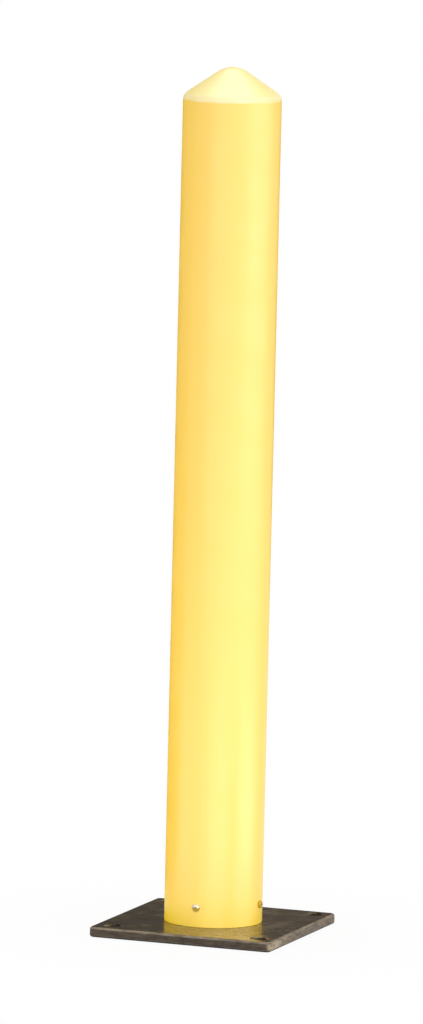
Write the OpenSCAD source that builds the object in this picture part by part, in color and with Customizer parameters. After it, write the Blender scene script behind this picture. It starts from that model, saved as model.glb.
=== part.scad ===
// Surface-mounted plastic bollard post.
// A one-piece moulded post with a cone crown slips over a stub pipe and is screwed to it.
// The stub pipe is welded on a square steel base plate with an anchor hole in each corner.
// Origin: centre of the plate's underside, +Z up, the plate's sides along X and Y. Millimetres.

/* [Post shell] */
// Height of the whole post, from the plate's underside to the tip of the crown
total_h = 914.4; // [400:0.1:1400]
// Wall of the moulded shell, the same at the side, the shoulder, the cone and the tip
shell_wall = 6.35; // [3:0.05:9]
// Radial clearance with which the shell slips over the stub pipe
slip_gap = 0.95; // [0.2:0.05:2]
// Slope of the crown's cone above the horizontal, in degrees
crown_slope = 34.5; // [15:0.5:55]
// Radius inside the tip of the crown
tip_inner_r = 21.65; // [5:0.05:25]
// Radius inside the shoulder, between the side and the cone
shoulder_inner_r = 4.65; // [1:0.05:12]
// Bevel round the shell's outer edge at the foot
foot_bevel = 0.3; // [0.2:0.1:1.5]
// Bevel round the shell's inner edge at the foot, which leads the stub pipe in
mouth_bevel = 1.5; // [0.2:0.1:1.5]

/* [Stub pipe] */
// Outside diameter of the stub pipe
stub_od = 88.9; // [60:0.1:115]
// Wall of the stub pipe
stub_wall = 5.5; // [2.5:0.1:8]
// Height of the stub pipe above the plate
stub_h = 100; // [60:1:250]
// Bevel round the stub pipe's outer edge at its top
stub_bevel = 1.5; // [0.2:0.1:2]
// Leg of the fillet weld inside the stub pipe
weld_leg = 5; // [2:0.5:8]

/* [Base plate] */
// Side of the square plate
plate_w = 203.2; // [180:0.1:300]
// Thickness of the plate
plate_t = 11; // [7:0.1:16]
// Radius of the plate's corners, seen from above
plate_corner_r = 6; // [4:0.5:18]
// Rounding of the plate's upper and lower edges
plate_edge_r = 2.7; // [0.3:0.1:3.4]
// Diameter of the anchor holes
anchor_d = 17.5; // [8:0.5:20]
// Distance from each anchor hole's centre to the plate's two nearest sides
anchor_inset = 19.05; // [14:0.05:28]
// Bevel round the top of each anchor hole
anchor_bevel = 0.8; // [0.2:0.1:1.5]

/* [Screws] */
// Number of screws round the foot of the post
screw_count = 4; // [2:1:8]
// Height of the screws above the plate
screw_rise = 21; // [14:0.5:45]
// Diameter of the screw's thread
screw_d = 4.2; // [3.5:0.1:5.5]
// Diameter of the screw's core, where its thread has cut into the stub pipe
screw_core_d = 3.1; // [2:0.1:3.4]
// Length of the screw under its head
screw_len = 19; // [17:0.5:28]
// Length of the screw's point
screw_point = 4; // [2:0.5:5]
// Diameter of the screw's pan head
head_d = 8.2; // [7.5:0.1:12]
// Height of the screw's pan head
head_h = 2.8; // [2.2:0.1:4]
// Rounding of the pan head's rim
head_rim_r = 1.8; // [0.5:0.1:2]
// Span of the cross recess in the head
recess_span = 4.2; // [3:0.1:5.5]
// Width of one slot of the cross recess
recess_w = 1; // [0.6:0.1:1.5]
// Depth of the cross recess
recess_depth = 1.6; // [0.8:0.1:2]
// Clearance of the shell's screw holes, on the diameter
screw_hole_gap = 0.8; // [0.2:0.1:1.5]
// Clearance of the stub pipe's pilot holes round the screw's core, on the diameter
pilot_gap = 0.1; // [0.04:0.02:0.3]

/* [Hidden] */
$fn = 96;

// How far a cut runs past the face that it goes through
over = 1;
// Straight steps in each arc of the crown's section
arc_steps = 20;

stub_r = stub_od / 2;
shell_r = stub_r + slip_gap + shell_wall;
shoulder_r = shoulder_inner_r + shell_wall;
tip_r = tip_inner_r + shell_wall;

// Height of the corner that the side and the cone would meet in, without the shoulder's rounding
shoulder_z = total_h - shell_r * tan(crown_slope) + tip_r * (1 / cos(crown_slope) - 1);
shoulder_centre = [shell_r - shoulder_r, shoulder_z - shoulder_r * tan((90 - crown_slope) / 2)];
tip_centre = [0, total_h - tip_r];

anchor_centre = plate_w / 2 - anchor_inset;
corner_centre = plate_w / 2 - plate_corner_r;
screw_z = plate_t + screw_rise;

// Sector of a disc between two directions less than 120 degrees apart
module sector(r, from, to) {
    reach = 2 * r;
    intersection() {
        circle(r);
        polygon([[0, 0], reach * [cos(from), sin(from)], reach * [cos(to), sin(to)]]);
    }
}

// Points of an arc about a centre, from one direction to another
function arc(centre, r, from, to) = [
    for (i = [0 : arc_steps])
        let (angle = from + (to - from) * i / arc_steps)
            centre + r * [cos(angle), sin(angle)]
];

// Half section of the closed post, a stated depth inside its outer face.
// The arcs keep their centres at any depth, so the wall between two depths is even.
// A positive bevel flares the foot outwards, and a negative one draws it in.
module post_half_section(depth, bevel) {
    side_r = shell_r - depth;
    cone_normal = 90 - crown_slope;
    polygon([
        [0, plate_t],
        [side_r + bevel, plate_t],
        [side_r, plate_t + abs(bevel)],
        each arc(shoulder_centre, shoulder_r - depth, 0, cone_normal),
        each arc(tip_centre, tip_r - depth, cone_normal, 90)
    ]);
}

// Places a child at each screw, with the child's +Z pointing outwards from the post's axis
module at_screws() {
    for (i = [0 : screw_count - 1])
        rotate([0, 0, i * 360 / screw_count])
            translate([0, 0, screw_z])
                rotate([0, 90, 0])
                    children();
}

// Cutter for a radial hole through a round wall, from its inner radius to its outer one
module radial_hole(d, inner_r, outer_r) {
    translate([0, 0, inner_r - over])
        cylinder(d = d, h = outer_r - inner_r + 2 * over);
}

module post_shell() {
    color("#f4cf3c")
    difference() {
        rotate_extrude()
            difference() {
                post_half_section(0, -foot_bevel);
                post_half_section(shell_wall, mouth_bevel);
            }
        at_screws()
            radial_hole(screw_d + screw_hole_gap, shell_r - shell_wall, shell_r);
    }
}

// Section of the plate from its middle to one side, square inside and rounded at the two outer edges
module plate_half_section(half_w) {
    edge_x = half_w - plate_edge_r;
    square([edge_x, plate_t]);
    translate([edge_x, plate_edge_r])
        square([plate_edge_r, plate_t - 2 * plate_edge_r]);
    translate([edge_x, plate_edge_r])
        sector(plate_edge_r, -90, 0);
    translate([edge_x, plate_t - plate_edge_r])
        sector(plate_edge_r, 0, 90);
}

module plate_blank() {
    for (turn = [0 : 90 : 270])
        rotate([0, 0, turn]) {
            rotate([90, 0, 0])
                linear_extrude(height = 2 * corner_centre, center = true)
                    plate_half_section(plate_w / 2);
            translate([corner_centre, corner_centre, 0])
                rotate_extrude(angle = 90)
                    plate_half_section(plate_corner_r);
        }
}

module anchor_hole() {
    translate([0, 0, -over])
        cylinder(d = anchor_d, h = plate_t + 2 * over);
    translate([0, 0, plate_t - anchor_bevel])
        cylinder(d1 = anchor_d, d2 = anchor_d + 4 * anchor_bevel, h = 2 * anchor_bevel);
}

module base_plate() {
    color("#2d2926")
    difference() {
        plate_blank();
        for (x = [-anchor_centre, anchor_centre], y = [-anchor_centre, anchor_centre])
            translate([x, y, 0])
                anchor_hole();
    }
}

module stub_pipe() {
    top = plate_t + stub_h;
    color("#4b4845")
    difference() {
        rotate_extrude()
            polygon([
                [stub_r - stub_wall, plate_t],
                [stub_r, plate_t],
                [stub_r, top - stub_bevel],
                [stub_r - stub_bevel, top],
                [stub_r - stub_wall, top]
            ]);
        at_screws()
            radial_hole(screw_core_d + pilot_gap, stub_r - stub_wall, stub_r);
    }
}

module stub_weld() {
    bore_r = stub_r - stub_wall;
    color("#6b6763")
    rotate_extrude()
        polygon([
            [bore_r - weld_leg, plate_t],
            [bore_r, plate_t],
            [bore_r, plate_t + weld_leg]
        ]);
}

// Half section of the pan head, flat below and rounded at its rim
module head_half_section() {
    rim_x = head_d / 2 - head_rim_r;
    square([rim_x, head_h]);
    translate([rim_x, 0])
        square([head_rim_r, head_h - head_rim_r]);
    translate([rim_x, head_h - head_rim_r])
        sector(head_rim_r, 0, 90);
}

// One screw along Z: the head stands up from z = 0 and the rest points down
module tapping_screw() {
    difference() {
        rotate_extrude()
            head_half_section();
        for (turn = [0, 90])
            rotate([0, 0, turn])
                translate([-recess_span / 2, -recess_w / 2, head_h - recess_depth])
                    cube([recess_span, recess_w, recess_depth + over]);
    }
    rotate_extrude()
        polygon([
            [0, 0],
            [screw_d / 2, 0],
            [screw_d / 2, -shell_wall],
            [screw_core_d / 2, -shell_wall],
            [screw_core_d / 2, screw_point - screw_len],
            [0, -screw_len]
        ]);
}

module shell_screws() {
    color("#d5d2cc")
    at_screws()
        translate([0, 0, shell_r])
            tapping_screw();
}

post_shell();
base_plate();
stub_pipe();
stub_weld();
shell_screws();
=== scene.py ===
# Looks of the plastic bollard post: materials, stage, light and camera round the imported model.
# Lengths are metres, in the part's own frame: +Z up, the plate's sides along X and Y.
from math import cos, pi, radians, sin

import bpy
from mathutils import Matrix, Vector

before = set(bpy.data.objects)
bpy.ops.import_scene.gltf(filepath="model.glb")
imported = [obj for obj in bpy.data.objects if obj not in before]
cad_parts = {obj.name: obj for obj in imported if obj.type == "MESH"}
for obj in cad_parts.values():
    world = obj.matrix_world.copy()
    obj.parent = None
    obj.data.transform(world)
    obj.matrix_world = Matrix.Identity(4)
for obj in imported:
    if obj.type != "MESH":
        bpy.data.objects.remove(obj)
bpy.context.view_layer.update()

# Places on the part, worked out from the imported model
PLATE_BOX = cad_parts["base_plate"].bound_box
PLATE_HALF = max(corner[0] for corner in PLATE_BOX)
SCREW_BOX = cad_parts["shell_screws"].bound_box
SCREW_Z = sum(corner[2] for corner in SCREW_BOX) / len(SCREW_BOX)

# Changes over the surfaces: the place where each one starts, and the place where it is complete
# Where the post's foot is painted a richer yellow, for the foot's light with less sheen
POST_FOOT_Z = (0.065, 0.015)
# Reach of the plate's lighter outer edges, partly wear and partly a painted highlight
PLATE_WORN_AND_HIGHLIGHT_REACH = (PLATE_HALF - 0.0066, PLATE_HALF - 0.0031)
# Where the plate's +X side turns lighter still: partly the scale's own tone, partly painted light
PLATE_LIGHTER_Y = (-0.03, -0.095)
# The screws' painted reflection of the yellow post and painted shade: on the heads' lower halves, and on
# the +X screw
SCREW_PAINTED_REFLECTION_Z = (SCREW_Z + 0.0016, SCREW_Z - 0.0004)
SCREW_PAINTED_REFLECTION_X = (0.03, 0.05)

# Camera, as fitted to the photograph's outlines: the post's axis at AIM_HEIGHT shows at AIM_PIXEL
PHOTO_W, PHOTO_H = 423, 1024
SENSOR_MM = 36.0
VIEW_AZIMUTH = radians(20.49)
VIEW_ELEVATION = radians(7.73)
VIEW_ROLL = radians(1.35)
VIEW_DISTANCE = 10.93
CLIP_END = 500.0
PIXELS_PER_METRE = 952.6
AIM_HEIGHT = 0.4606
AIM_PIXEL = (222.95, 497.75)

# Floor: its plain white grows from the near share to the whole between two distances from the axis
FLOOR_SIZE = 200.0
FLOOR_COLOUR = (0.7, 0.7, 0.7, 1)
GLOW_NEAR, GLOW_FAR = 0.12, 0.4
GLOW_SHARE_NEAR = 0.93

# World and boards: their colours are radiances, and the world's white foot ends at a slope above the floor
WORLD_FRONT = (0.84, 0.84, 0.84, 1)
WORLD_BACK = (0.5, 0.5, 0.5, 1)
WORLD_FOOT_END = 0.025
BOARD_DARK = (0.08, 0.063, 0.046, 1)
BOARD_BROWN = (0.13, 0.1, 0.072, 1)
BLACK = (0, 0, 0, 1)
WHITE = (1, 1, 1, 1)

# Lamps: the distance from the axis, the height that they face, and their width and height
RING_DISTANCE = 2.4
RING_AIM = 0.6
RING_SIZE = (1.27, 1.2)
FOOT_DISTANCE = 0.6
FOOT_AIM = 0.05
FOOT_SIZE = (0.5, 0.1)


class Nodes:
    """A short way to build a node tree: add nodes, set their inputs and link their outputs."""

    def __init__(self, tree):
        self.tree = tree
        tree.nodes.clear()

    def add(self, kind, inputs=(), **settings):
        node = self.tree.nodes.new(kind)
        for name, value in settings.items():
            setattr(node, name, value)
        for name, value in dict(inputs).items():
            self.set(node, name, value)
        return node

    def set(self, node, name, value):
        """Link an output to a node's input, or give the input a constant."""
        socket = node.inputs[name]
        if isinstance(value, bpy.types.NodeSocket):
            self.tree.links.new(value, socket)
        else:
            socket.default_value = value

    def noise(self, where, scale, detail=2.0, roughness=0.5):
        node = self.add("ShaderNodeTexNoise", {"Vector": where, "Scale": scale, "Detail": detail,
                                               "Roughness": roughness})
        return node.outputs["Fac"]

    def math(self, operation, a, b=0.0):
        return self.add("ShaderNodeMath", {0: a, 1: b}, operation=operation).outputs[0]

    def measure(self, operation, *vectors):
        """A number worked out from one vector or two."""
        node = self.add("ShaderNodeVectorMath", enumerate(vectors), operation=operation)
        return node.outputs["Value"]

    def ramp(self, value, start, end, at_start=0.0, at_end=1.0):
        """A smooth change from one level to another, while a value goes from its start to its end."""
        node = self.add("ShaderNodeMapRange", {"Value": value, "From Min": start, "From Max": end,
                                               "To Min": at_start, "To Max": at_end},
                        interpolation_type="SMOOTHSTEP")
        return node.outputs["Result"]

    def mix(self, share, a, b):
        """A mix of two colours, which are inputs 6 and 7 of the node."""
        return self.add("ShaderNodeMix", {0: share, 6: a, 7: b}, data_type="RGBA").outputs[2]

    def blend(self, share, a, b):
        """A mix of two numbers, which are inputs 2 and 3 of the node."""
        return self.add("ShaderNodeMix", {0: share, 2: a, 3: b}, data_type="FLOAT").outputs[0]

    def bump(self, height, strength, distance, normal=None):
        node = self.add("ShaderNodeBump", {"Height": height, "Strength": strength, "Distance": distance})
        if normal is not None:
            self.set(node, "Normal", normal)
        return node.outputs["Normal"]

    def stretched(self, where, scale):
        return self.add("ShaderNodeMapping", {"Vector": where, "Scale": scale}).outputs["Vector"]

    def parts(self, vector):
        return self.add("ShaderNodeSeparateXYZ", {0: vector}).outputs


def new_material(name):
    """A material with one plain shader. Gives the material, its nodes, its coordinates and the shader."""
    material = bpy.data.materials.new(name)
    material.use_nodes = True
    nodes = Nodes(material.node_tree)
    coordinates = nodes.add("ShaderNodeTexCoord").outputs
    shader = nodes.add("ShaderNodeBsdfPrincipled")
    nodes.add("ShaderNodeOutputMaterial", {"Surface": shader.outputs[0]})
    return material, nodes, coordinates, shader


def dress(node, material):
    """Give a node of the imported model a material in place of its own."""
    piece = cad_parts[node]
    piece.data.materials.clear()
    piece.data.materials.append(material)


def yellow_plastic():
    """Finely grained yellow plastic, with painted light: a richer yellow at the foot with less sheen, a
    painted highlight paling the crown, and a patchy painted highlight at the shoulder.
    """
    deep = (0.93, 0.585, 0.032, 1)
    bright = (0.95, 0.605, 0.052, 1)
    painted_foot_tone = (0.95, 0.64, 0.015, 1)
    painted_crown_highlight = (0.95, 0.79, 0.29, 1)
    painted_shoulder_highlight = (0.95, 0.81, 0.4, 1)

    material, nodes, coordinates, shader = new_material("yellow_plastic")
    place = coordinates["Object"]
    tilt = nodes.parts(coordinates["Normal"])["Z"]
    # Towards the foot a richer yellow is painted in, for the foot's light with less of the pale sheen
    # higher up
    foot = nodes.ramp(nodes.parts(place)["Z"], *POST_FOOT_Z)
    # The cap's upward faces are paled towards white: a painted highlight from the lamps above
    crown = nodes.ramp(tilt, start=0.1, end=0.6)
    # A patchy pale band round the shoulder: a painted highlight
    shoulder = nodes.math("MULTIPLY", nodes.ramp(tilt, start=0.05, end=0.3),
                          nodes.ramp(tilt, start=0.82, end=0.7))
    highlight_patches = nodes.ramp(nodes.noise(place, scale=60.0, detail=4.0), start=0.2, end=0.6, at_start=0.55)
    shoulder_highlight_share = nodes.math("MULTIPLY", shoulder, highlight_patches)
    colour = nodes.mix(nodes.noise(place, scale=9.0, detail=3.0), deep, bright)
    colour = nodes.mix(foot, colour, painted_foot_tone)
    colour = nodes.mix(crown, colour, painted_crown_highlight)
    nodes.set(shader, "Base Color", nodes.mix(shoulder_highlight_share, colour, painted_shoulder_highlight))

    haze = nodes.noise(place, scale=35.0, detail=4.0)
    nodes.set(shader, "Roughness", nodes.ramp(haze, start=0.3, end=0.7, at_start=0.35, at_end=0.42))
    grain = nodes.bump(nodes.noise(place, scale=900.0), strength=0.12, distance=0.0004)
    wave = nodes.noise(place, scale=14.0, detail=1.0)
    nodes.set(shader, "Normal", nodes.bump(wave, strength=0.15, distance=0.002, normal=grain))
    nodes.set(shader, "IOR", 1.72)
    nodes.set(shader, "Specular IOR Level", 1.0)
    return material


def plate_side_colour(nodes, facing, at, streaks, specks):
    """Streaked mill scale, dark but for the +X side, which has pale specks and a still lighter end: partly
    the scale's own tone, partly painted light from the right.
    """
    # Each pair is the colour between the streaks and the colour in them
    dark = ((0.024, 0.017, 0.01, 1), (0.066, 0.048, 0.03, 1))
    lighter = ((0.055, 0.038, 0.023, 1), (0.15, 0.108, 0.068, 1))
    lightest = ((0.15, 0.113, 0.073, 1), (0.38, 0.3, 0.205, 1))
    pale = (0.62, 0.55, 0.45, 1)

    # The +X side and its front end are lighter: partly the scale's own tone and specks, partly painted
    # light from the right
    plus_x_side = nodes.mix(nodes.ramp(at["Y"], *PLATE_LIGHTER_Y), nodes.mix(streaks, *lighter),
                            nodes.mix(streaks, *lightest))
    plus_x_side = nodes.mix(specks, plus_x_side, pale)
    return nodes.mix(nodes.ramp(facing["X"], start=0.2, end=0.9), nodes.mix(streaks, *dark), plus_x_side)


def plate_coating():
    """Steel with a dark burnished top, scaled sides, edges lighter with wear and a painted highlight, and
    painted shade on the underside.
    """
    # Each pair is the darkest and the lightest colour
    burnished = ((0.09, 0.07, 0.045, 1), (0.3, 0.245, 0.155, 1))
    worn_and_highlight = ((0.09, 0.07, 0.045, 1), (0.26, 0.21, 0.15, 1))
    painted_underside_shade = (0.012, 0.009, 0.007, 1)

    material, nodes, coordinates, shader = new_material("plate_coating")
    place = coordinates["Object"]
    facing = nodes.parts(coordinates["Normal"])
    at = nodes.parts(place)
    tilt = nodes.math("ABSOLUTE", facing["Z"])
    side = nodes.ramp(tilt, start=0.6, end=0.15)
    reach = nodes.math("MAXIMUM", nodes.math("ABSOLUTE", at["X"]), nodes.math("ABSOLUTE", at["Y"]))
    rounding = nodes.math("MULTIPLY", nodes.ramp(tilt, start=0.05, end=0.35),
                          nodes.ramp(tilt, start=0.995, end=0.95))
    edge = nodes.math("MULTIPLY", rounding, nodes.ramp(reach, *PLATE_WORN_AND_HIGHLIGHT_REACH))

    mottle = nodes.ramp(nodes.noise(place, scale=45.0, detail=5.0, roughness=0.6), start=0.3, end=0.7)
    drawn = nodes.stretched(place, (70.0, 70.0, 260.0))
    streaks = nodes.ramp(nodes.noise(drawn, scale=1.0, detail=4.0, roughness=0.65), start=0.3, end=0.7)
    specks = nodes.ramp(nodes.noise(place, scale=520.0), start=0.62, end=0.7, at_end=0.4)
    side_colour = plate_side_colour(nodes, facing, at, streaks, specks)
    colour = nodes.mix(side, nodes.mix(mottle, *burnished), side_colour)
    # The rounded outer edges are lighter: partly wear, partly a painted highlight
    worn_and_highlight_share = nodes.math("MULTIPLY", edge, 0.8)
    colour = nodes.mix(worn_and_highlight_share, colour, nodes.mix(streaks, *worn_and_highlight))
    # Faces turned down go near-black: painted shade under the plate
    colour = nodes.mix(nodes.ramp(facing["Z"], start=-0.1, end=-0.5), colour, painted_underside_shade)
    nodes.set(shader, "Base Color", colour)

    scaled = nodes.math("MAXIMUM", side, edge)
    polish = nodes.ramp(mottle, start=0.0, end=1.0, at_start=0.14, at_end=0.34)
    nodes.set(shader, "Metallic", nodes.math("SUBTRACT", 1.0, scaled))
    nodes.set(shader, "Roughness", nodes.blend(scaled, polish, 0.5))
    nodes.set(shader, "Specular IOR Level", 0.3)
    dents = nodes.bump(nodes.noise(place, scale=45.0), strength=0.45, distance=0.002)
    grain = nodes.noise(place, scale=700.0, detail=3.0)
    nodes.set(shader, "Normal", nodes.bump(grain, strength=0.09, distance=0.0002, normal=dents))
    return material


def scaled_steel(name, dark, light, grain_scale):
    """Steel with blotches of mill scale and a little rust in the grain."""
    rusty = (0.16, 0.06, 0.025, 1)

    material, nodes, coordinates, shader = new_material(name)
    place = coordinates["Object"]
    blotches = nodes.ramp(nodes.noise(place, scale=55.0, detail=5.0, roughness=0.6), start=0.35, end=0.65)
    grain = nodes.noise(place, grain_scale, detail=3.0)
    rust = nodes.ramp(grain, start=0.58, end=0.7, at_end=0.6)
    nodes.set(shader, "Base Color", nodes.mix(rust, nodes.mix(blotches, dark, light), rusty))
    nodes.set(shader, "Metallic", nodes.blend(rust, 0.8, 0.1))
    nodes.set(shader, "Roughness", nodes.blend(blotches, 0.38, 0.55))
    nodes.set(shader, "Normal", nodes.bump(grain, strength=0.3, distance=0.0003))
    return material


def screw_zinc():
    """Zinc, with a painted reflection of the yellow post and painted shade on the heads' lower halves, and
    all over the screw on the +X side.
    """
    dull = (0.8, 0.75, 0.66, 1)
    bright = (0.94, 0.89, 0.8, 1)
    painted_reflection_and_shade = (0.5, 0.33, 0.04, 1)

    material, nodes, coordinates, shader = new_material("screw_zinc")
    place = coordinates["Object"]
    at = nodes.parts(place)
    # Yellow-brown on the heads' lower halves and on the +X screw: a painted reflection of the yellow post
    # and painted shade
    painted_reflection_share = nodes.math("MAXIMUM", nodes.ramp(at["Z"], *SCREW_PAINTED_REFLECTION_Z), nodes.ramp(at["X"], *SCREW_PAINTED_REFLECTION_X))
    grain = nodes.noise(place, scale=900.0, detail=3.0)
    zinc = nodes.mix(nodes.ramp(grain, start=0.3, end=0.7), dull, bright)
    nodes.set(shader, "Base Color", nodes.mix(painted_reflection_share, zinc, painted_reflection_and_shade))
    nodes.set(shader, "Metallic", nodes.blend(painted_reflection_share, 1.0, 0.0))
    nodes.set(shader, "Roughness", nodes.blend(painted_reflection_share, 0.32, 0.6))
    nodes.set(shader, "Normal", nodes.bump(grain, strength=0.1, distance=0.0001))
    return material


def make_floor():
    """A pale floor that turns to plain white away from the object, for the camera and in reflections."""
    bpy.ops.mesh.primitive_plane_add(size=FLOOR_SIZE, location=(0, 0, 0))
    floor = bpy.context.object
    floor.name = "floor"
    material, nodes, coordinates, shader = new_material("floor")
    nodes.set(shader, "Base Color", FLOOR_COLOUR)
    nodes.set(shader, "Roughness", 0.9)
    path = nodes.add("ShaderNodeLightPath").outputs
    seen = nodes.math("MAXIMUM", path["Is Camera Ray"], path["Is Glossy Ray"])
    seen = nodes.math("MAXIMUM", seen, path["Is Transmission Ray"])
    reach = nodes.measure("LENGTH", coordinates["Object"])
    share = nodes.math("MULTIPLY", seen, nodes.ramp(reach, GLOW_NEAR, GLOW_FAR, at_start=GLOW_SHARE_NEAR))
    white = nodes.add("ShaderNodeEmission", {"Color": WHITE, "Strength": 1.0})
    blend = nodes.add("ShaderNodeMixShader", {0: share, 1: shader.outputs[0], 2: white.outputs[0]})
    nodes.set(nodes.tree.get_output_node("ALL"), "Surface", blend.outputs[0])
    floor.data.materials.append(material)


def outwards(turn, rise):
    """The direction away from the post, at a turn about +Z from -Y and at a rise above the floor."""
    return Vector((sin(turn) * cos(rise), -cos(turn) * cos(rise), sin(rise)))


def make_world():
    """A studio that is lighter in front than behind, with a white foot all round."""
    world = bpy.data.worlds.new("studio")
    bpy.context.scene.world = world
    world.use_nodes = True
    nodes = Nodes(world.node_tree)
    direction = nodes.add("ShaderNodeTexCoord").outputs["Generated"]
    ahead = nodes.measure("DOT_PRODUCT", direction, outwards(VIEW_AZIMUTH, rise=0))
    studio = nodes.mix(nodes.ramp(ahead, start=-0.3, end=0.3), WORLD_BACK, WORLD_FRONT)
    foot_ended = nodes.ramp(nodes.parts(direction)["Z"], start=0.0, end=WORLD_FOOT_END)
    colour = nodes.mix(foot_ended, WHITE, studio)
    background = nodes.add("ShaderNodeBackground", {"Color": colour, "Strength": 1.0})
    nodes.add("ShaderNodeOutputWorld", {"Surface": background.outputs[0]})


def make_board(name, azimuth, distance, width, height, colour):
    """A dark board that stands on the floor, azimuth degrees right of the camera, for reflections only."""
    turn = VIEW_AZIMUTH + radians(azimuth)
    bpy.ops.mesh.primitive_plane_add(size=1.0)
    board = bpy.context.object
    board.name = name
    board.location = outwards(turn, rise=0) * distance + Vector((0, 0, height / 2))
    board.rotation_euler = (radians(90), 0, turn)
    board.scale = (width, height, 1)
    board.visible_camera = board.visible_diffuse = board.visible_shadow = False
    material, nodes, _, shader = new_material(name)
    nodes.set(shader, "Base Color", BLACK)
    nodes.set(shader, "Emission Color", colour)
    nodes.set(shader, "Emission Strength", 1.0)
    board.data.materials.append(material)


def softbox(name, azimuth, radiance, elevation=0, size=RING_SIZE, distance=RING_DISTANCE, aim=RING_AIM):
    """A soft lamp of a stated radiance, azimuth degrees right of the camera and elevation degrees up."""
    away = outwards(VIEW_AZIMUTH + radians(azimuth), radians(elevation))
    width, height = size
    data = bpy.data.lights.new(name, "AREA")
    data.shape = "RECTANGLE"
    data.size = width
    data.size_y = height
    data.energy = radiance * pi * width * height
    lamp = bpy.data.objects.new(name, data)
    bpy.context.scene.collection.objects.link(lamp)
    lamp.location = Vector((0, 0, aim)) + away * distance
    lamp.rotation_euler = (-away).to_track_quat("-Z", "Y").to_euler()
    lamp.visible_camera = False
    return lamp


def foot_softbox(name, azimuth, radiance):
    """A small low lamp close to the post, for its foot and the plate."""
    return softbox(name, azimuth, radiance, size=FOOT_SIZE, distance=FOOT_DISTANCE, aim=FOOT_AIM)


def make_lamps():
    """Lamps overhead, in a ring, high up and low down, then three fills kept out of reflections."""
    softbox("overhead", azimuth=0, elevation=113, size=(1.6, 1.1), radiance=2.04)
    softbox("overhead_front", azimuth=0, elevation=98, size=(1.6, 0.6), radiance=1.42)
    softbox("front_left", azimuth=-30, radiance=0.83)
    softbox("front", azimuth=0, radiance=0.76)
    softbox("front_right", azimuth=30, radiance=0.98)
    softbox("right", azimuth=60, radiance=1.7)
    softbox("rim", azimuth=90, radiance=1.25)
    softbox("high_front_left", azimuth=-50, elevation=50, size=(1.2, 1.0), radiance=0.64)
    softbox("high_front_right", azimuth=35, elevation=50, size=(1.2, 0.8), radiance=2.4)
    softbox("high_right", azimuth=95, elevation=50, size=(1.4, 1.0), radiance=0.5)
    softbox("low_front", azimuth=15, size=(1.8, 0.3), radiance=0.48, distance=1.3, aim=0.16)
    foot_softbox("foot_front", azimuth=5, radiance=2.3)
    foot_softbox("foot_right", azimuth=75, radiance=2.5)
    for fill in (foot_softbox("foot_left", azimuth=-65, radiance=3.9),
                 softbox("rear_left", azimuth=-120, radiance=4.8),
                 softbox("rear", azimuth=170, radiance=1.3)):
        fill.visible_glossy = False


def make_camera():
    """The camera, which sees the post as the photograph does."""
    back = outwards(VIEW_AZIMUTH, VIEW_ELEVATION)
    level = Vector((cos(VIEW_AZIMUTH), sin(VIEW_AZIMUTH), 0))
    upright = back.cross(level)
    right = level * cos(VIEW_ROLL) + upright * sin(VIEW_ROLL)
    up = upright * cos(VIEW_ROLL) - level * sin(VIEW_ROLL)
    across = (AIM_PIXEL[0] - PHOTO_W / 2) / PIXELS_PER_METRE
    down = (AIM_PIXEL[1] - PHOTO_H / 2) / PIXELS_PER_METRE
    place = Vector((0, 0, AIM_HEIGHT)) + back * VIEW_DISTANCE - right * across + up * down
    data = bpy.data.cameras.new("camera")
    data.sensor_width = SENSOR_MM
    data.lens = SENSOR_MM * PIXELS_PER_METRE * VIEW_DISTANCE / PHOTO_H
    data.clip_end = CLIP_END
    camera = bpy.data.objects.new("camera", data)
    bpy.context.scene.collection.objects.link(camera)
    camera.matrix_world = Matrix((
        (right.x, up.x, back.x, place.x),
        (right.y, up.y, back.y, place.y),
        (right.z, up.z, back.z, place.z),
        (0, 0, 0, 1)))
    bpy.context.scene.camera = camera


dress("post_shell", yellow_plastic())
dress("base_plate", plate_coating())
dress("stub_pipe", scaled_steel("pipe_coating", dark=(0.09, 0.085, 0.08, 1),
                                light=(0.24, 0.23, 0.21, 1), grain_scale=400.0))
dress("stub_weld", scaled_steel("weld_metal", dark=(0.22, 0.2, 0.17, 1),
                                light=(0.42, 0.4, 0.37, 1), grain_scale=900.0))
dress("shell_screws", screw_zinc())

make_floor()
make_world()
make_board("left_board", azimuth=-132, distance=0.27, width=0.46, height=1.05, colour=BOARD_DARK)
make_board("back_board", azimuth=180, distance=2.5, width=3.2, height=1.1, colour=BOARD_BROWN)
make_lamps()
make_camera()
bpy.context.scene.view_settings.view_transform = "Standard"
